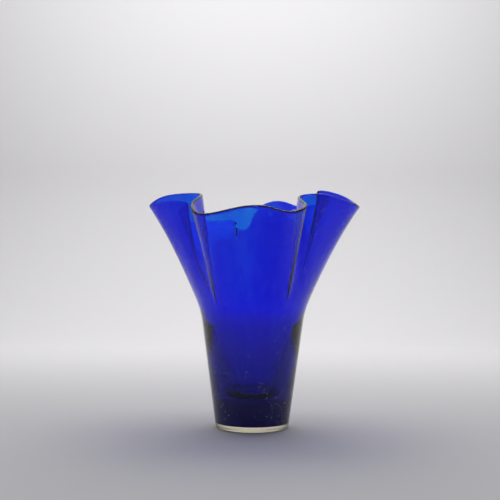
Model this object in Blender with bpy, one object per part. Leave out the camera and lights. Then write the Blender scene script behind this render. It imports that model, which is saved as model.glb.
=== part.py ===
"""A blown glass vase: a round, thick-footed body that opens into a folded, ruffled rim.

The vase is one piece of glass. Its outer face runs from a flat foot up a slightly tapered
body to a round shoulder, and from there the wall flares out and falls into folds: four deep
valleys that stand nearly upright, and four lobes between them that lean out and droop, the
back one with a small kink in it. The rim line, a closed smooth curve in space, shapes the
folds, and they fade out towards the shoulder. The inside follows the outside at the wall's
thickness and ends in a deep, flat-floored cavity over the solid foot.

Metres, +Z up. The origin is the centre of the foot's flat underside, and the front faces -Y.
"""
import bmesh
import bpy
import numpy as np

MM = 0.001

# Foot and body, all round
FOOT_RADIUS = 38.2 * MM
FOOT_EDGE = 1.4 * MM
SHOULDER_RADIUS = 54.8 * MM
SHOULDER_HEIGHT = 121.0 * MM
SHOULDER_BEND = 11.0 * MM
BODY_TAPER = (SHOULDER_RADIUS - FOOT_RADIUS) / SHOULDER_HEIGHT

# Glass thickness at the lip and at the shoulder
LIP_THICKNESS = 3.0 * MM
SHOULDER_THICKNESS = 6.8 * MM

# The cavity: its floor over the solid foot, its walls' radius there, and the corner's radius
CAVITY_FLOOR_HEIGHT = 33.0 * MM
CAVITY_LOW_RADIUS = 18.0 * MM
CAVITY_CORNER = 7.0 * MM

# How fast a fold fades below the rim, and how far up the flare the folds start
LONG = 1.45
MIDDLE = 2.2
SHORT = 2.8
FOLD_START = 0.12

# The rim line: azimuth in degrees from the front, to the right as seen from there, then the
# reach from the vase's axis, the height above the foot, how fast the fold there fades, and how
# many degrees the fold's line drifts towards the nearest valley on its way to the shoulder
RIM = (
    (-46.0, 76.5 * MM, 238.5 * MM, LONG, 0.0),  # front left valley
    (-32.0, 112.5 * MM, 224.5 * MM, LONG, -9.0),  # front lobe, left corner
    (-25.5, 123.5 * MM, 213.5 * MM, LONG, -10.0),
    (-17.5, 124.0 * MM, 213.0 * MM, LONG, -7.5),
    (-8.0, 125.0 * MM, 217.0 * MM, LONG, -4.0),
    (3.5, 126.0 * MM, 219.0 * MM, LONG, 1.0),
    (13.0, 126.0 * MM, 214.5 * MM, LONG, 6.0),
    (20.5, 122.5 * MM, 216.5 * MM, LONG, 10.0),
    (26.0, 114.5 * MM, 223.0 * MM, LONG, 10.5),  # front lobe, right corner
    (40.5, 74.0 * MM, 237.0 * MM, LONG, 1.5),  # front right valley
    (53.0, 85.0 * MM, 239.5 * MM, LONG, -4.0),
    (66.5, 97.5 * MM, 235.5 * MM, LONG, -6.0),
    (80.0, 109.5 * MM, 231.5 * MM, LONG, -4.0),
    (92.0, 112.5 * MM, 233.0 * MM, LONG, 0.0),  # right lobe, tip
    (106.0, 102.0 * MM, 246.0 * MM, MIDDLE, -2.0),
    (115.0, 82.0 * MM, 252.5 * MM, MIDDLE, -7.0),  # back right valley
    (123.0, 95.5 * MM, 247.5 * MM, MIDDLE, -12.0),
    (130.0, 116.0 * MM, 242.5 * MM, LONG, -17.5),  # back lobe, right corner
    (139.5, 121.5 * MM, 239.0 * MM, LONG, -23.0),
    (146.0, 118.5 * MM, 237.5 * MM, LONG, -24.0),
    (153.5, 113.0 * MM, 241.5 * MM, LONG, -21.0),
    (164.5, 107.5 * MM, 247.5 * MM, MIDDLE, -11.0),
    (174.0, 110.0 * MM, 242.5 * MM, SHORT, -4.0),
    (177.0, 107.0 * MM, 237.0 * MM, SHORT, -2.5),
    (179.5, 103.5 * MM, 226.5 * MM, SHORT, -2.0),
    (182.0, 101.5 * MM, 217.0 * MM, SHORT, -1.5),
    (186.5, 102.5 * MM, 212.5 * MM, SHORT, -1.5),
    (190.5, 104.5 * MM, 214.0 * MM, SHORT, -1.5),  # back lobe, kink
    (190.7, 112.5 * MM, 221.0 * MM, SHORT, 1.5),
    (193.0, 119.0 * MM, 223.8 * MM, SHORT, 3.5),
    (201.0, 119.5 * MM, 222.0 * MM, MIDDLE, 8.0),
    (211.0, 121.0 * MM, 220.5 * MM, LONG, 17.0),
    (220.5, 122.0 * MM, 219.0 * MM, LONG, 21.5),
    (230.0, 117.0 * MM, 222.5 * MM, LONG, 16.5),  # back lobe, left corner
    (237.0, 97.0 * MM, 230.5 * MM, MIDDLE, 11.0),
    (246.0, 82.0 * MM, 236.5 * MM, MIDDLE, 6.5),  # back left valley
    (260.0, 97.5 * MM, 236.0 * MM, MIDDLE, 0.5),
    (275.0, 110.0 * MM, 230.0 * MM, LONG, 0.0),  # left lobe, tip
    (286.0, 104.5 * MM, 234.5 * MM, LONG, 2.0),
    (297.0, 91.0 * MM, 239.0 * MM, LONG, 5.0),
)

# The flare's extra outward curl near the rim, and how soon the wall thins above the shoulder
FLARE_CURL = 0.16
FLARE_CURL_POWER = 4.0
THINNING_POWER = 5.0

# Between these parts of the flare's height, the inner face starts to follow the folds' creases
CREASE_NONE = 0.12
CREASE_FULL = 0.45

# How finely the surface is divided, and how much closer the rim's points lie in a bend
SPLINE_STEPS = 40
SEGMENTS = 112
FOOT_EDGE_RINGS = 3
BODY_RINGS = 5
FLARE_RINGS = 16
LIP_RINGS = 3
CAVITY_RINGS = 4
CAVITY_CORNER_RINGS = 5
TURN_WEIGHT = 6.0 * MM

COBALT = (0.012, 0.035, 0.62, 1.0)
GLASS_ROUGHNESS = 0.04
SHARP_ANGLE = 50.0


def rim_points():
    """The rim's stations as points in space, each with its fold's fade and drift."""
    azimuth, reach, height, fade, drift = np.array(RIM).T
    azimuth = np.radians(azimuth)
    across = reach * np.sin(azimuth)
    along = -reach * np.cos(azimuth)
    return np.column_stack((across, along, height, fade, np.radians(drift)))


def closed_spline(points, steps):
    """A closed cubic spline through the points, smooth in direction and in curvature."""
    count = len(points)
    following = np.roll(points, -1, axis=0)
    chord = np.sqrt(np.linalg.norm((following - points)[:, :3], axis=1))
    slope = (following - points) / chord[:, None]
    system = np.zeros((count, count))
    target = np.zeros(points.shape)
    for i in range(count):
        before = i - 1
        system[i, before] = chord[i]
        system[i, i] = 2 * (chord[before] + chord[i])
        system[i, (i + 1) % count] = chord[before]
        target[i] = 3 * (chord[i] * slope[before] + chord[before] * slope[i])
    tangent = np.linalg.solve(system, target)
    s = (np.arange(steps) / steps)[:, None]
    curve = []
    for i in range(count):
        end = (i + 1) % count
        curve.append((1 + 2 * s) * (1 - s) ** 2 * points[i]
                     + s * (1 - s) ** 2 * chord[i] * tangent[i]
                     + s ** 2 * (3 - 2 * s) * points[end]
                     + s ** 2 * (s - 1) * chord[i] * tangent[end])
    return np.concatenate(curve)


def rim_curve():
    """The rim line as SEGMENTS points, set closer together where the rim bends."""
    fine = closed_spline(rim_points(), SPLINE_STEPS)
    side = (np.roll(fine, -1, axis=0) - fine)[:, :3]
    length = np.linalg.norm(side, axis=1)
    heading = side / length[:, None]
    turn = np.linalg.norm(np.roll(heading, -1, axis=0) - heading, axis=1)
    spent = np.concatenate(([0.0], np.cumsum(length + TURN_WEIGHT * turn)))
    fine = np.vstack((fine, fine[:1]))
    wanted = np.linspace(0.0, spent[-1], SEGMENTS, endpoint=False)
    return np.column_stack([np.interp(wanted, spent, column) for column in fine.T])


def eased_ramp(distance, width):
    """Nothing below the bend and a straight ramp above it, with a round bend between them."""
    inside = np.clip(distance, -width, width)
    return (inside + width) ** 2 / (4 * width) + np.maximum(distance - width, 0.0)


def outward_at(rim, drifted):
    """The directions away from the axis, with the folds' drift from 0 at the rim to 1 below."""
    azimuth = np.arctan2(rim[:, 0], -rim[:, 1]) + drifted * rim[:, 4]
    return np.column_stack((np.sin(azimuth), -np.cos(azimuth)))


def flare_rings(rim):
    """The outer face from just under the shoulder to the rim, as one array of rings."""
    reach = np.hypot(rim[:, 0], rim[:, 1])
    fade = rim[:, 3]
    mean_reach = reach.mean()
    mean_rise = rim[:, 2].mean() - SHOULDER_HEIGHT
    opening = mean_reach - SHOULDER_RADIUS - BODY_TAPER * mean_rise
    start = -SHOULDER_BEND / mean_rise
    rings = []
    for step in np.linspace(0.0, 1.0, FLARE_RINGS + 1):
        rise = start + (1 - start) * step
        ramp = eased_ramp(rise, -start)
        spread = (1 - FLARE_CURL) * ramp + FLARE_CURL * ramp ** FLARE_CURL_POWER
        fold = (max(rise - FOLD_START, 0.0) / (1 - FOLD_START)) ** fade
        radius = SHOULDER_RADIUS + BODY_TAPER * mean_rise * rise + opening * spread
        radius = radius + (reach - mean_reach) * fold
        height = SHOULDER_HEIGHT + np.where(rise > 0, rim[:, 2] - SHOULDER_HEIGHT, mean_rise) * rise
        outward = outward_at(rim, 1 - max(rise, 0.0))
        rings.append(np.column_stack((outward * radius[:, None], height)))
    return np.array(rings)


def body_rings(outward):
    """The outer face from the foot's rounded edge up to the flare."""
    profile = []
    for angle in np.linspace(0.0, np.pi / 2, FOOT_EDGE_RINGS, endpoint=False):
        profile.append((FOOT_RADIUS - FOOT_EDGE * (1 - np.sin(angle)), FOOT_EDGE * (1 - np.cos(angle))))
    top = SHOULDER_HEIGHT - SHOULDER_BEND
    for height in np.linspace(FOOT_EDGE, top, BODY_RINGS, endpoint=False):
        profile.append((FOOT_RADIUS + BODY_TAPER * height, height))
    return [ring_at(outward, radius, height) for radius, height in profile]


def ring_at(outward, radius, height):
    """A round, level ring."""
    return np.column_stack((outward * radius, np.full(len(outward), height)))


def outer_normals(rings):
    """The outer face's normals, and the directions along its rings."""
    around = np.roll(rings, -1, axis=1) - np.roll(rings, 1, axis=1)
    upward = np.gradient(rings, axis=0)
    normal = np.cross(around, upward)
    normal /= np.linalg.norm(normal, axis=2, keepdims=True)
    around /= np.linalg.norm(around, axis=2, keepdims=True)
    return normal, around


def lip_rings(edge, normal, around):
    """The half-round lip, from the outer face over to the inner one."""
    middle = edge - normal * LIP_THICKNESS / 2
    over = np.cross(normal, around)
    rings = []
    for angle in np.linspace(0.0, np.pi, LIP_RINGS + 2)[1:-1]:
        rings.append(middle + (normal * np.cos(angle) + over * np.sin(angle)) * LIP_THICKNESS / 2)
    return rings


def inner_flare_rings(rings, normals):
    """The inner face from the rim down to the shoulder, at the glass's thickness."""
    inner = []
    for ring, normal, level in zip(rings, normals, np.linspace(0.0, 1.0, len(rings))):
        thickness = LIP_THICKNESS + (SHOULDER_THICKNESS - LIP_THICKNESS) * (1 - level) ** THINNING_POWER
        across = ring * (1.0, 1.0, 0.0)
        across /= np.linalg.norm(across, axis=1, keepdims=True)
        creased = np.clip((level - CREASE_NONE) / (CREASE_FULL - CREASE_NONE), 0.0, 1.0)
        direction = across + (normal - across) * creased
        direction /= np.linalg.norm(direction, axis=1, keepdims=True)
        inner.append(ring - direction * thickness)
    return inner[::-1]


def cavity_rings(outward, top_ring):
    """The deep cavity inside the body: straight tapered walls and a round corner to its floor."""
    radius = np.hypot(top_ring[:, 0], top_ring[:, 1]).mean()
    depth = top_ring[:, 2].mean() - CAVITY_FLOOR_HEIGHT
    levels = [(rise, 0.0) for rise in np.linspace(depth, CAVITY_CORNER, CAVITY_RINGS + 1)[1:]]
    for angle in np.linspace(0.0, np.pi / 2, CAVITY_CORNER_RINGS + 1)[1:]:
        levels.append((CAVITY_CORNER * (1 - np.sin(angle)), CAVITY_CORNER * (1 - np.cos(angle))))
    rings = []
    for rise, narrowing in levels:
        reach = CAVITY_LOW_RADIUS + (radius - CAVITY_LOW_RADIUS) * rise / depth - narrowing
        rings.append(ring_at(outward, reach, CAVITY_FLOOR_HEIGHT + rise))
    return rings


def vase_mesh():
    """One closed skin: foot, outer face, lip, inner face and cavity floor."""
    rim = rim_curve()
    flare = flare_rings(rim)
    outward = outward_at(rim, 1.0)
    normals, around = outer_normals(flare)
    inner = inner_flare_rings(flare, normals)
    rings = body_rings(outward) + list(flare)
    rings += lip_rings(flare[-1], normals[-1], around[-1])
    rings += inner + cavity_rings(outward, inner[-1])

    work = bmesh.new()
    loops = []
    for ring in rings:
        loops.append([work.verts.new(point) for point in ring])
    for lower, upper in zip(loops, loops[1:]):
        for i in range(SEGMENTS):
            after = (i + 1) % SEGMENTS
            work.faces.new((lower[i], lower[after], upper[after], upper[i]))
    work.faces.new(loops[0][::-1])
    work.faces.new(loops[-1])
    mesh = bpy.data.meshes.new("vase")
    work.to_mesh(mesh)
    work.free()
    return mesh


def glass_material():
    """Deep cobalt blue glass."""
    material = bpy.data.materials.new("cobalt_glass")
    material.use_nodes = True
    shader = material.node_tree.nodes["Principled BSDF"]
    shader.inputs["Base Color"].default_value = COBALT
    shader.inputs["Roughness"].default_value = GLASS_ROUGHNESS
    shader.inputs["Metallic"].default_value = 0.0
    shader.inputs["Transmission Weight"].default_value = 1.0
    material.diffuse_color = COBALT
    return material


def build():
    for old in list(bpy.data.objects):
        bpy.data.objects.remove(old)
    collection = bpy.data.collections.new("ruffled_vase")
    bpy.context.scene.collection.children.link(collection)
    mesh = vase_mesh()
    mesh.materials.append(glass_material())
    mesh.shade_smooth()
    mesh.set_sharp_from_angle(angle=np.radians(SHARP_ANGLE))
    collection.objects.link(bpy.data.objects.new("vase", mesh))


build()
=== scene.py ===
"""The looks of a blown glass vase: cobalt blue glass with a folded, ruffled rim."""

import bmesh
import bpy
import numpy as np
from mathutils import Matrix


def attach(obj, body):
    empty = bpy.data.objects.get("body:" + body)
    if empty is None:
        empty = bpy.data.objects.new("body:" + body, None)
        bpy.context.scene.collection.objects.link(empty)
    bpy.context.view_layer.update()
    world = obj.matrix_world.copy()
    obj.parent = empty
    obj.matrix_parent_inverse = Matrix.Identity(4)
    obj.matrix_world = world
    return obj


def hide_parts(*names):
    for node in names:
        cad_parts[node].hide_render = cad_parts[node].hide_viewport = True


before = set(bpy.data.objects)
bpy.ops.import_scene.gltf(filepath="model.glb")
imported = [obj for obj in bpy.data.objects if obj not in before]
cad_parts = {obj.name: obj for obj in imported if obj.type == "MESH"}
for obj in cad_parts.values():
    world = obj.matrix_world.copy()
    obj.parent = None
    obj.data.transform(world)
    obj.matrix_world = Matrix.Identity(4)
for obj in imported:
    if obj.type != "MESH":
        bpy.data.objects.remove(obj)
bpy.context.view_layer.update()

MM = 0.001

# The vase's glass: cobalt blue, blown as one piece with a thick solid foot, most likely in a
# tapered mould. The top was opened and spun out hot, so that its rim flopped into folds by itself,
# and the rim's edge was left round and polished by the fire.

FOOT_RADIUS = 38.2 * MM
SHOULDER_RADIUS = 54.8 * MM
SHOULDER_HEIGHT = 121.0 * MM
SHOULDER_BEND = 11.0 * MM
LIP_THICKNESS = 3.0 * MM
SHOULDER_THICKNESS = 6.8 * MM
CAVITY_FLOOR_HEIGHT = 33.0 * MM
CAVITY_LOW_RADIUS = 18.0 * MM
CAVITY_CORNER = 7.0 * MM
CLEAR_FOOT_HEIGHT = 5.6 * MM

# How fast a fold fades below the rim, and how far up the flare the folds start
LONG = 1.45
MIDDLE = 2.2
SHORT = 2.8
FOLD_START = 0.12

# The rim line: azimuth in degrees from the front, to the right as seen from there, then the
# reach from the vase's axis, the height above the foot, how fast the fold there fades, and how
# many degrees the fold's line drifts towards the nearest valley on its way to the shoulder
RIM = (
    (-46.0, 76.5 * MM, 238.5 * MM, LONG, 0.0),  # front left valley
    (-32.0, 112.5 * MM, 224.5 * MM, LONG, -9.0),  # front lobe, left corner
    (-25.5, 123.5 * MM, 213.5 * MM, LONG, -10.0),
    (-17.5, 124.0 * MM, 213.0 * MM, LONG, -7.5),
    (-8.0, 125.0 * MM, 217.0 * MM, LONG, -4.0),
    (3.5, 126.0 * MM, 219.0 * MM, LONG, 1.0),
    (13.0, 126.0 * MM, 214.5 * MM, LONG, 6.0),
    (20.5, 122.5 * MM, 216.5 * MM, LONG, 10.0),
    (26.0, 114.5 * MM, 223.0 * MM, LONG, 10.5),  # front lobe, right corner
    (40.5, 74.0 * MM, 237.0 * MM, LONG, 1.5),  # front right valley
    (53.0, 85.0 * MM, 239.5 * MM, LONG, -4.0),
    (66.5, 97.5 * MM, 235.5 * MM, LONG, -6.0),
    (80.0, 109.5 * MM, 231.5 * MM, LONG, -4.0),
    (92.0, 112.5 * MM, 233.0 * MM, LONG, 0.0),  # right lobe, tip
    (106.0, 102.0 * MM, 246.0 * MM, MIDDLE, -2.0),
    (115.0, 82.0 * MM, 252.5 * MM, MIDDLE, -7.0),  # back right valley
    (123.0, 95.5 * MM, 247.5 * MM, MIDDLE, -12.0),
    (130.0, 116.0 * MM, 242.5 * MM, LONG, -17.5),  # back lobe, right corner
    (139.5, 121.5 * MM, 239.0 * MM, LONG, -23.0),
    (146.0, 118.5 * MM, 237.5 * MM, LONG, -24.0),
    (153.5, 113.0 * MM, 241.5 * MM, LONG, -21.0),
    (164.5, 107.5 * MM, 247.5 * MM, MIDDLE, -11.0),
    (174.0, 110.0 * MM, 242.5 * MM, SHORT, -4.0),
    (177.0, 107.0 * MM, 237.0 * MM, SHORT, -2.5),
    (179.5, 103.5 * MM, 226.5 * MM, SHORT, -2.0),
    (182.0, 101.5 * MM, 217.0 * MM, SHORT, -1.5),
    (186.5, 102.5 * MM, 212.5 * MM, SHORT, -1.5),
    (190.5, 104.5 * MM, 214.0 * MM, SHORT, -1.5),  # back lobe, kink
    (190.7, 112.5 * MM, 221.0 * MM, SHORT, 1.5),
    (193.0, 119.0 * MM, 223.8 * MM, SHORT, 3.5),
    (201.0, 119.5 * MM, 222.0 * MM, MIDDLE, 8.0),
    (211.0, 121.0 * MM, 220.5 * MM, LONG, 17.0),
    (220.5, 122.0 * MM, 219.0 * MM, LONG, 21.5),
    (230.0, 117.0 * MM, 222.5 * MM, LONG, 16.5),  # back lobe, left corner
    (237.0, 97.0 * MM, 230.5 * MM, MIDDLE, 11.0),
    (246.0, 82.0 * MM, 236.5 * MM, MIDDLE, 6.5),  # back left valley
    (260.0, 97.5 * MM, 236.0 * MM, MIDDLE, 0.5),
    (275.0, 110.0 * MM, 230.0 * MM, LONG, 0.0),  # left lobe, tip
    (286.0, 104.5 * MM, 234.5 * MM, LONG, 2.0),
    (297.0, 91.0 * MM, 239.0 * MM, LONG, 5.0),
)

# The flare's extra outward curl near the rim, and how soon the wall thins above the shoulder
FLARE_CURL = 0.16
FLARE_CURL_POWER = 4.0
THINNING_POWER = 5.0

# How much thicker the flare's wall is than its lip at some azimuths, in between its two ends
WALL_EXTRA = (
    (0.0, 0.2 * MM),
    (26.0, 0.8 * MM),
    (40.0, 1.0 * MM),
    (66.0, 2.0 * MM),
    (90.0, 2.5 * MM),
    (106.0, 2.5 * MM),
    (115.0, 1.5 * MM),
    (123.0, 1.0 * MM),
    (131.0, 2.0 * MM),
    (142.0, 4.0 * MM),
    (166.0, 4.0 * MM),
    (176.0, 2.0 * MM),
    (182.0, 0.5 * MM),
    (190.6, 0.0 * MM),
    (200.0, 1.0 * MM),
    (225.0, 1.5 * MM),
    (250.0, 1.5 * MM),
    (275.0, 2.0 * MM),
    (297.0, 1.5 * MM),
    (314.0, 0.3 * MM),
    (335.0, 0.6 * MM),
)
EXTRA_BELOW_LIP = 0.25
EXTRA_ABOVE_SHOULDER = 0.35

# How much deeper the colour is near the lip at some azimuths, where the hot glass sagged and
# gathered, and how far down the flare that reaches
DEEPER = (
    (0.0, 0.0),
    (22.0, 0.1),
    (40.0, 0.55),
    (60.0, 0.6),
    (90.0, 0.9),
    (112.0, 1.0),
    (125.0, 1.0),
    (160.0, 1.0),
    (174.0, 0.6),
    (184.0, 0.0),
    (235.0, 0.0),
    (262.0, 0.4),
    (275.0, 0.6),
    (300.0, 0.5),
    (316.0, 0.2),
    (330.0, 0.1),
)
DEEPER_REACH = 0.22

# Between these parts of the flare's height, the inner face starts to follow the folds' creases
CREASE_NONE = 0.12
CREASE_FULL = 0.45

TURN_WEIGHT = 6.0 * MM
SHARP_ANGLE = 50.0

SPLINE_STEPS = 80
AROUND = 336
BODY_RINGS = 30
FLARE_RINGS = 72
LIP_RINGS = 9
CAVITY_RINGS = 24
CAVITY_CORNER_RINGS = 24

TAPER = (SHOULDER_RADIUS - FOOT_RADIUS) / SHOULDER_HEIGHT


def rim_points():
    """The rim's stations as points in space, each with its fold's fade and drift."""
    azimuth, reach, height, fade, drift = np.array(RIM).T
    azimuth = np.radians(azimuth)
    across = reach * np.sin(azimuth)
    along = -reach * np.cos(azimuth)
    return np.column_stack((across, along, height, fade, np.radians(drift)))


def closed_spline(points, steps):
    """A smooth closed curve through the points, with that many steps between each two."""
    count = len(points)
    following = np.roll(points, -1, axis=0)
    chord = np.sqrt(np.linalg.norm((following - points)[:, :3], axis=1))
    slope = (following - points) / chord[:, None]
    system = np.zeros((count, count))
    target = np.zeros(points.shape)
    for i in range(count):
        before = i - 1
        system[i, before] = chord[i]
        system[i, i] = 2 * (chord[before] + chord[i])
        system[i, (i + 1) % count] = chord[before]
        target[i] = 3 * (chord[i] * slope[before] + chord[before] * slope[i])
    tangent = np.linalg.solve(system, target)
    s = (np.arange(steps) / steps)[:, None]
    curve = []
    for i in range(count):
        end = (i + 1) % count
        curve.append((1 + 2 * s) * (1 - s) ** 2 * points[i]
                     + s * (1 - s) ** 2 * chord[i] * tangent[i]
                     + s ** 2 * (3 - 2 * s) * points[end]
                     + s ** 2 * (s - 1) * chord[i] * tangent[end])
    return np.concatenate(curve)


def rim_curve():
    """The rim line in even steps, which are shorter where it turns."""
    fine = closed_spline(rim_points(), SPLINE_STEPS)
    side = (np.roll(fine, -1, axis=0) - fine)[:, :3]
    length = np.linalg.norm(side, axis=1)
    heading = side / length[:, None]
    turn = np.linalg.norm(np.roll(heading, -1, axis=0) - heading, axis=1)
    spent = np.concatenate(([0.0], np.cumsum(length + TURN_WEIGHT * turn)))
    fine = np.vstack((fine, fine[:1]))
    wanted = np.linspace(0.0, spent[-1], AROUND, endpoint=False)
    return np.column_stack([np.interp(wanted, spent, column) for column in fine.T])


def eased_ramp(distance, width):
    """Nothing below -width, the distance itself above width, and a smooth bend in between."""
    inside = np.clip(distance, -width, width)
    return (inside + width) ** 2 / (4 * width) + np.maximum(distance - width, 0.0)


def outward_at(rim, drifted):
    """The directions away from the axis, with the folds' drift from 0 at the rim to 1 below."""
    azimuth = np.arctan2(rim[:, 0], -rim[:, 1]) + drifted * rim[:, 4]
    return np.column_stack((np.sin(azimuth), -np.cos(azimuth)))


def flare_rings(rim):
    """The outer face from just under the shoulder to the rim, as one array of rings."""
    reach = np.hypot(rim[:, 0], rim[:, 1])
    fade = rim[:, 3]
    mean_reach = reach.mean()
    mean_rise = rim[:, 2].mean() - SHOULDER_HEIGHT
    opening = mean_reach - SHOULDER_RADIUS - TAPER * mean_rise
    start = -SHOULDER_BEND / mean_rise
    rings = []
    for step in np.linspace(0.0, 1.0, FLARE_RINGS + 1):
        rise = start + (1 - start) * step
        ramp = eased_ramp(rise, -start)
        spread = (1 - FLARE_CURL) * ramp + FLARE_CURL * ramp ** FLARE_CURL_POWER
        fold = (max(rise - FOLD_START, 0.0) / (1 - FOLD_START)) ** fade
        radius = SHOULDER_RADIUS + TAPER * mean_rise * rise + opening * spread
        radius = radius + (reach - mean_reach) * fold
        height = SHOULDER_HEIGHT + np.where(rise > 0, rim[:, 2] - SHOULDER_HEIGHT, mean_rise) * rise
        outward = outward_at(rim, 1 - max(rise, 0.0))
        rings.append(np.column_stack((outward * radius[:, None], height)))
    return np.array(rings)


def ring_at(outward, radius, height):
    """A level ring of points at that radius and height."""
    return np.column_stack((outward * radius, np.full(len(outward), height)))


def outer_normals(rings):
    """The outward directions at each point of the rings, and the directions along the rings."""
    around = np.roll(rings, -1, axis=1) - np.roll(rings, 1, axis=1)
    upward = np.gradient(rings, axis=0)
    normal = np.cross(around, upward)
    normal /= np.linalg.norm(normal, axis=2, keepdims=True)
    around /= np.linalg.norm(around, axis=2, keepdims=True)
    return normal, around


def lip_rings(edge, normal, around):
    """The half-round lip, over the rim from the outer face to the inner one."""
    middle = edge - normal * LIP_THICKNESS / 2
    over = np.cross(normal, around)
    rings = []
    for angle in np.linspace(0.0, np.pi, LIP_RINGS + 2)[1:-1]:
        rings.append(middle + (normal * np.cos(angle) + over * np.sin(angle)) * LIP_THICKNESS / 2)
    return rings


def smooth_step(part):
    """From 0 to 1, level at both ends."""
    part = np.clip(part, 0.0, 1.0)
    return part * part * (3 - 2 * part)


def inner_flare_rings(rim, rings, normals):
    """The inner face from the rim down to the shoulder, at the glass's thickness."""
    azimuth = np.degrees(np.arctan2(rim[:, 0], -rim[:, 1]))
    places, extras = np.array(WALL_EXTRA).T
    extra = np.interp(azimuth, places, extras, period=360.0)
    inner = []
    for ring, normal, level in zip(rings, normals, np.linspace(0.0, 1.0, len(rings))):
        gain = (SHOULDER_THICKNESS - LIP_THICKNESS) * (1 - level) ** THINNING_POWER
        thickness = LIP_THICKNESS + gain
        below_lip = smooth_step((1 - level) / EXTRA_BELOW_LIP)
        swell = below_lip * smooth_step(level / EXTRA_ABOVE_SHOULDER)
        thickness = (thickness + extra * swell)[:, None]
        across = ring * (1.0, 1.0, 0.0)
        across /= np.linalg.norm(across, axis=1, keepdims=True)
        creased = np.clip((level - CREASE_NONE) / (CREASE_FULL - CREASE_NONE), 0.0, 1.0)
        direction = across + (normal - across) * creased
        direction /= np.linalg.norm(direction, axis=1, keepdims=True)
        inner.append(ring - direction * thickness)
    return inner[::-1]


def cavity_rings(outward, top_ring):
    """The deep cavity inside the body: straight tapered walls and a round corner to its floor."""
    radius = np.hypot(top_ring[:, 0], top_ring[:, 1]).mean()
    depth = top_ring[:, 2].mean() - CAVITY_FLOOR_HEIGHT
    levels = [(rise, 0.0) for rise in np.linspace(depth, CAVITY_CORNER, CAVITY_RINGS + 1)[1:]]
    for angle in np.linspace(0.0, np.pi / 2, CAVITY_CORNER_RINGS + 1)[1:]:
        levels.append((CAVITY_CORNER * (1 - np.sin(angle)), CAVITY_CORNER * (1 - np.cos(angle))))
    rings = []
    for rise, narrowing in levels:
        reach = CAVITY_LOW_RADIUS + (radius - CAVITY_LOW_RADIUS) * rise / depth - narrowing
        rings.append(ring_at(outward, reach, CAVITY_FLOOR_HEIGHT + rise))
    return rings


def closed_skin(name, rings, depth_and_shade=None):
    """A closed mesh through rings of points, flat at both ends.

    Each point of each ring can carry a value, which says how deep the glass's colour is there,
    and, above the lip's depth, how much shade is painted on.
    """
    work = bmesh.new()
    layer = work.verts.layers.float.new("depth_and_shade")
    loops = [[work.verts.new(point) for point in ring] for ring in rings]
    for loop, values in zip(loops, depth_and_shade or []):
        for vert, value in zip(loop, values):
            vert[layer] = value
    count = len(loops[0])
    for lower, upper in zip(loops, loops[1:]):
        for i in range(count):
            after = (i + 1) % count
            work.faces.new((lower[i], lower[after], upper[after], upper[i]))
    work.faces.new(loops[0][::-1])
    work.faces.new(loops[-1])
    mesh = bpy.data.meshes.new(name)
    work.to_mesh(mesh)
    work.free()
    mesh.shade_smooth()
    mesh.set_sharp_from_angle(angle=np.radians(SHARP_ANGLE))
    piece = bpy.data.objects.new(name, mesh)
    bpy.context.scene.collection.objects.link(piece)
    return piece


class Socket:
    """One output of a shader node, so that shader maths reads as an expression."""

    def __init__(self, tree, out):
        self.tree = tree
        self.out = out

    def _math(self, operation, first, second):
        node = self.tree.nodes.new("ShaderNodeMath")
        node.operation = operation
        for slot, value in zip(node.inputs, (first, second)):
            if isinstance(value, Socket):
                self.tree.links.new(value.out, slot)
            else:
                slot.default_value = value
        return Socket(self.tree, node.outputs[0])

    def __add__(self, other):
        return self._math("ADD", self, other)

    __radd__ = __add__

    def __sub__(self, other):
        return self._math("SUBTRACT", self, other)

    def __rsub__(self, other):
        return self._math("SUBTRACT", other, self)

    def __mul__(self, other):
        return self._math("MULTIPLY", self, other)

    __rmul__ = __mul__

    def above(self, other):
        return self._math("GREATER_THAN", self, other)


class Shader:
    """A material's or world's node tree."""

    def __init__(self, owner):
        owner.use_nodes = True
        self.tree = owner.node_tree
        self.tree.nodes.clear()

    def node(self, kind, settings=None, **values):
        """A node of that type, with its settings made first, then its sockets' values or links."""
        node = self.tree.nodes.new(kind)
        for key, value in (settings or {}).items():
            setattr(node, key, value)
        for key, value in values.items():
            slot = node.inputs[int(key[1:]) if key[1:].isdigit() else key.replace("_", " ")]
            if isinstance(value, Socket):
                self.tree.links.new(value.out, slot)
            else:
                slot.default_value = value
        return node

    def socket(self, node, name=0):
        return Socket(self.tree, node.outputs[name])


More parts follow.
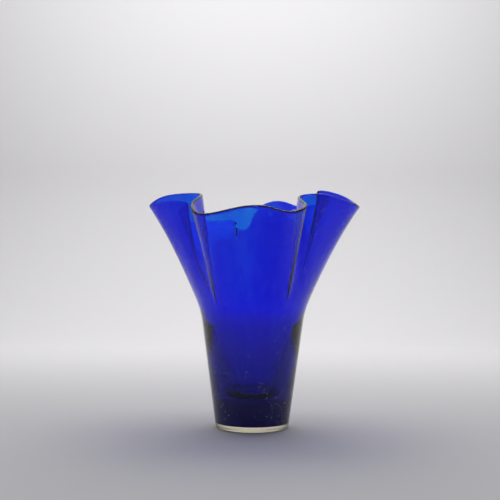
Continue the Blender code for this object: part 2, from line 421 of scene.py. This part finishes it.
def glass(name, tint, density, roughness):
    """Clear or coloured glass: a wavy refracting surface around glass that drinks some colours.

    Its surface has faint upright streaks, a darker blue where the mesh says so, painted shade on
    the solid foot and its underside, and clusters of tiny seeds, the bubbles that blown glass
    keeps, drawn as pale opaque dots whose sparkle is a painted highlight.
    """
    material = bpy.data.materials.new(name)
    made = Shader(material)
    place = made.socket(made.node("ShaderNodeTexCoord"), "Object")
    drawn = made.node("ShaderNodeVectorMath", {"operation": "MULTIPLY"}, _0=place, _1=STREAK_SCALE)
    streak = made.node("ShaderNodeTexNoise", Vector=made.socket(drawn), Scale=1.0, Detail=3.0)
    streak = made.socket(streak, "Fac")
    depth_and_shade = made.socket(made.node("ShaderNodeAttribute", {"attribute_name": "depth_and_shade"}), "Fac")
    mixing = {"data_type": "RGBA", "clamp_factor": True}
    shade = made.node("ShaderNodeMix", mixing, _0=depth_and_shade + (streak - STREAK_MIDDLE) * STREAK_DEPTH,
                      _6=(1, 1, 1, 1), _7=DEEP_AND_SHADE_TINT)
    # Painted shade: past the lip's depth, the colour darkens to near-black navy on the foot and
    # underside
    shade = made.node("ShaderNodeMix", mixing, _0=depth_and_shade - LIP_DEPTH, _6=made.socket(shade, 2),
                      _7=UNDERSIDE_PAINTED_SHADE)
    wave = made.node("ShaderNodeBump", Height=streak, Strength=STREAK_STRENGTH,
                     Distance=STREAK_RELIEF)
    smooth = made.node("ShaderNodeBsdfPrincipled", Base_Color=made.socket(shade, 2),
                       Roughness=roughness, IOR=GLASS_INDEX, Specular_IOR_Level=GLASS_MIRROR,
                       Transmission_Weight=1.0, Normal=made.socket(wave))
    cells = made.node("ShaderNodeTexVoronoi", Vector=place, Scale=SEED_SCALE)
    clouds = made.node("ShaderNodeTexNoise", Vector=place, Scale=CLUSTER_SCALE)
    # Seeds: tiny pale opaque dots in clusters, whose brightness is a painted highlight
    seed_glint = (SEED_SIZE - made.socket(cells, "Distance")).above(0.0)
    seed_glint = seed_glint * made.socket(clouds, "Fac").above(CLUSTER_LEVEL)
    glint_dot = made.node("ShaderNodeBsdfPrincipled", Base_Color=SEED_GLINT_COLOUR,
                       Roughness=SEED_ROUGHNESS)
    surface = made.node("ShaderNodeMixShader", _0=seed_glint, _1=made.socket(smooth),
                        _2=made.socket(glint_dot))
    inside = made.node("ShaderNodeVolumeAbsorption", Color=tint, Density=density)
    made.node("ShaderNodeOutputMaterial", Surface=made.socket(surface), Volume=made.socket(inside))
    return material


GLASS_INDEX = 1.5
GLASS_MIRROR = 0.2
COBALT_TINT = (0.0, 0.72, 0.9865, 1.0)
COBALT_DENSITY = 1900.0

# Streaks and seeds: how many to a metre, and how strong
STREAK_SCALE = (70.0, 70.0, 7.0)
STREAK_MIDDLE = 0.45
STREAK_DEPTH = 0.9
STREAK_STRENGTH = 0.3
STREAK_RELIEF = 0.5 * MM
SEED_SCALE = 250.0
SEED_SIZE = 0.11
# The seeds' near-white colour is a painted highlight, their sparkle painted on
SEED_GLINT_COLOUR = (0.8, 0.84, 1.0, 1.0)
SEED_ROUGHNESS = 0.3
CLUSTER_SCALE = 30.0
CLUSTER_LEVEL = 0.53

# The colour's depth: 1 is the lip's darker blue; up to 2 is painted shade on the foot and underside
LIP_DEPTH = 1.0
UNDERSIDE_SHADE_DEPTH = 2.0
DEEP_AND_SHADE_TINT = (0.7, 0.10, 0.92, 1.0)
UNDERSIDE_PAINTED_SHADE = (0.0, 0.0, 0.14, 1.0)
UNDERSIDE_SHADE_EDGE = 0.1 * MM
FOOT_SHADE_DEPTH = 1.85
FOOT_SHADE_FADE = 9.0 * MM

rim = rim_curve()
flare = flare_rings(rim)
outward = outward_at(rim, 1.0)
normals, around = outer_normals(flare)
inner = inner_flare_rings(rim, flare, normals)
heights = np.linspace(CLEAR_FOOT_HEIGHT, SHOULDER_HEIGHT - SHOULDER_BEND, BODY_RINGS,
                      endpoint=False)
# A ring just above the underside keeps the underside's painted shade to the flat bottom
heights = np.insert(heights, 1, CLEAR_FOOT_HEIGHT + UNDERSIDE_SHADE_EDGE)
body = [ring_at(outward, FOOT_RADIUS + TAPER * height, height) for height in heights]
lip = lip_rings(flare[-1], normals[-1], around[-1])
places, depths = np.array(DEEPER).T
deepest = np.interp(np.degrees(np.arctan2(rim[:, 0], -rim[:, 1])), places, depths, period=360.0)
rises = np.linspace(0.0, 1.0, len(flare))
depth_and_shade = [deepest * smooth_step(1 - (1 - rise) / DEEPER_REACH) for rise in rises]
plain = deepest * 0
# Painted shade: the solid foot darkens below the cavity floor, and its underside fully
foot_painted_shade = FOOT_SHADE_DEPTH * smooth_step((CAVITY_FLOOR_HEIGHT + FOOT_SHADE_FADE / 2 - heights) / FOOT_SHADE_FADE)
depth_and_shade = ([plain + UNDERSIDE_SHADE_DEPTH] + [plain + value for value in foot_painted_shade[1:]] + depth_and_shade
          + [deepest] * len(lip) + depth_and_shade[::-1])
cavity = cavity_rings(outward, inner[-1])
vase_glass = closed_skin("vase_glass", body + list(flare) + lip + inner + cavity, depth_and_shade)
vase_glass.data.materials.append(glass("cobalt_glass", COBALT_TINT, COBALT_DENSITY, 0.0))
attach(vase_glass, "root")
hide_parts("vase")

# The clear foot: a layer of clear glass a few millimetres tall under the blue, which shows as a
# pale ring. It is flat below, with a small round edge. A hair-thin seam lies between the two.

FOOT_EDGE = 1.4 * MM
FOOT_RINGS = 5
SEAM = 0.05 * MM
CLEAR_TINT = (0.95, 0.93, 0.80, 1.0)
CLEAR_DENSITY = 30.0
CLEAR_ROUGHNESS = 0.2

foot = [ring_at(outward, FOOT_RADIUS - FOOT_EDGE * (1 - np.sin(angle)),
                FOOT_EDGE * (1 - np.cos(angle)))
        for angle in np.linspace(0.0, np.pi / 2, FOOT_RINGS)]
top = CLEAR_FOOT_HEIGHT - SEAM
foot.append(ring_at(outward, FOOT_RADIUS + TAPER * top, top))
clear_foot = closed_skin("clear_foot", foot)
clear_foot.data.materials.append(
    glass("clear_glass", CLEAR_TINT, CLEAR_DENSITY, CLEAR_ROUGHNESS))
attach(clear_foot, "root")
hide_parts("vase")

# The stage: one pale matt sheet, flat under the vase and rising in a wide curve far behind it.
# It isn't part of the vase.

FLOOR_HALF = 3.0
FLOOR_GAP = 0.3 * MM
SWEEP_START = 1.1
SWEEP_RADIUS = 0.5
SWEEP_STEPS = 24
WALL_TOP = 2.5
PAPER_COLOUR = (0.74, 0.73, 0.74, 1.0)
PAPER_ROUGHNESS = 0.9

profile = [(-FLOOR_HALF, -FLOOR_GAP), (0.0, -FLOOR_GAP), (SWEEP_START, -FLOOR_GAP)]
for angle in np.linspace(0.0, np.pi / 2, SWEEP_STEPS)[1:]:
    profile.append((SWEEP_START + SWEEP_RADIUS * np.sin(angle),
                    SWEEP_RADIUS * (1 - np.cos(angle)) - FLOOR_GAP))
profile.append((SWEEP_START + SWEEP_RADIUS, WALL_TOP))
work = bmesh.new()
rails = [[work.verts.new((side * FLOOR_HALF, y, z)) for y, z in profile] for side in (-1, 1)]
for i in range(len(profile) - 1):
    work.faces.new((rails[0][i], rails[1][i], rails[1][i + 1], rails[0][i + 1]))
mesh = bpy.data.meshes.new("stage_sweep")
work.to_mesh(mesh)
work.free()
mesh.shade_smooth()
sweep = bpy.data.objects.new("stage_sweep", mesh)
bpy.context.scene.collection.objects.link(sweep)
paper = bpy.data.materials.new("pale_paper")
made = Shader(paper)
matt = made.node("ShaderNodeBsdfPrincipled", Base_Color=PAPER_COLOUR, Roughness=PAPER_ROUGHNESS)
made.node("ShaderNodeOutputMaterial", Surface=made.socket(matt))
mesh.materials.append(paper)

# The light: a wide soft lamp high over the vase, a low one on the sweep behind it, and a room all
# round that lights the vase dimly and shows pale behind and through the glass.


def lamp(name, place, target, size, power):
    """A soft lamp of that size in metres at one place, aimed at another."""
    light = bpy.data.lights.new(name, "AREA")
    light.shape = "RECTANGLE"
    light.size = size[0]
    light.size_y = size[1]
    light.energy = power
    holder = bpy.data.objects.new(name, light)
    holder.location = place
    aim = Matrix.Translation(place).to_translation() - Matrix.Translation(target).to_translation()
    holder.rotation_euler = aim.to_track_quat("Z", "Y").to_euler()
    bpy.context.scene.collection.objects.link(holder)


lamp("lamp_over", (0.0, 0.9, 2.4), (0.0, 0.2, 0.0), (3.2, 2.0), 40.0)
lamp("lamp_wall", (0.0, 0.6, 1.25), (0.0, 1.6, 0.8), (1.5, 0.4), 10.5)

ROOM_COLOUR = (0.8, 0.8, 0.82, 1.0)
ROOM_LIGHT = 0.18
ROOM_SEEN = 0.5

world = bpy.data.worlds.new("pale_room")
bpy.context.scene.world = world
made = Shader(world)
path = made.node("ShaderNodeLightPath")
seen = (made.socket(path, "Is Camera Ray") + made.socket(path, "Is Glossy Ray")
        + made.socket(path, "Is Transmission Ray"))
dim = made.node("ShaderNodeBackground", Color=ROOM_COLOUR, Strength=ROOM_LIGHT)
pale = made.node("ShaderNodeBackground", Color=ROOM_COLOUR, Strength=ROOM_SEEN)
room = made.node("ShaderNodeMixShader", _0=seen.above(0.5), _1=made.socket(dim),
                 _2=made.socket(pale))
made.node("ShaderNodeOutputWorld", Surface=made.socket(room))

# The camera, at the photograph's height, distance and angle.

CAMERA_SIDE = -0.0033
CAMERA_DISTANCE = 0.8503
EYE_HEIGHT = 0.1487
PITCH = 2.52
ROLL = 0.37
LENS = 57.6
SENSOR_WIDTH = 36.0

lens = bpy.data.cameras.new("photo_camera")
lens.lens = LENS
lens.sensor_width = SENSOR_WIDTH
camera = bpy.data.objects.new("photo_camera", lens)
camera.matrix_world = (Matrix.Translation((CAMERA_SIDE, -CAMERA_DISTANCE, EYE_HEIGHT))
                       @ Matrix.Rotation(np.radians(90.0 + PITCH), 4, "X")
                       @ Matrix.Rotation(np.radians(ROLL), 4, "Z"))
bpy.context.scene.collection.objects.link(camera)
bpy.context.scene.camera = camera

bpy.context.scene.view_settings.view_transform = "Standard"
bpy.context.scene.cycles.max_bounces = 32
bpy.context.scene.cycles.transmission_bounces = 24
bpy.context.scene.cycles.glossy_bounces = 12
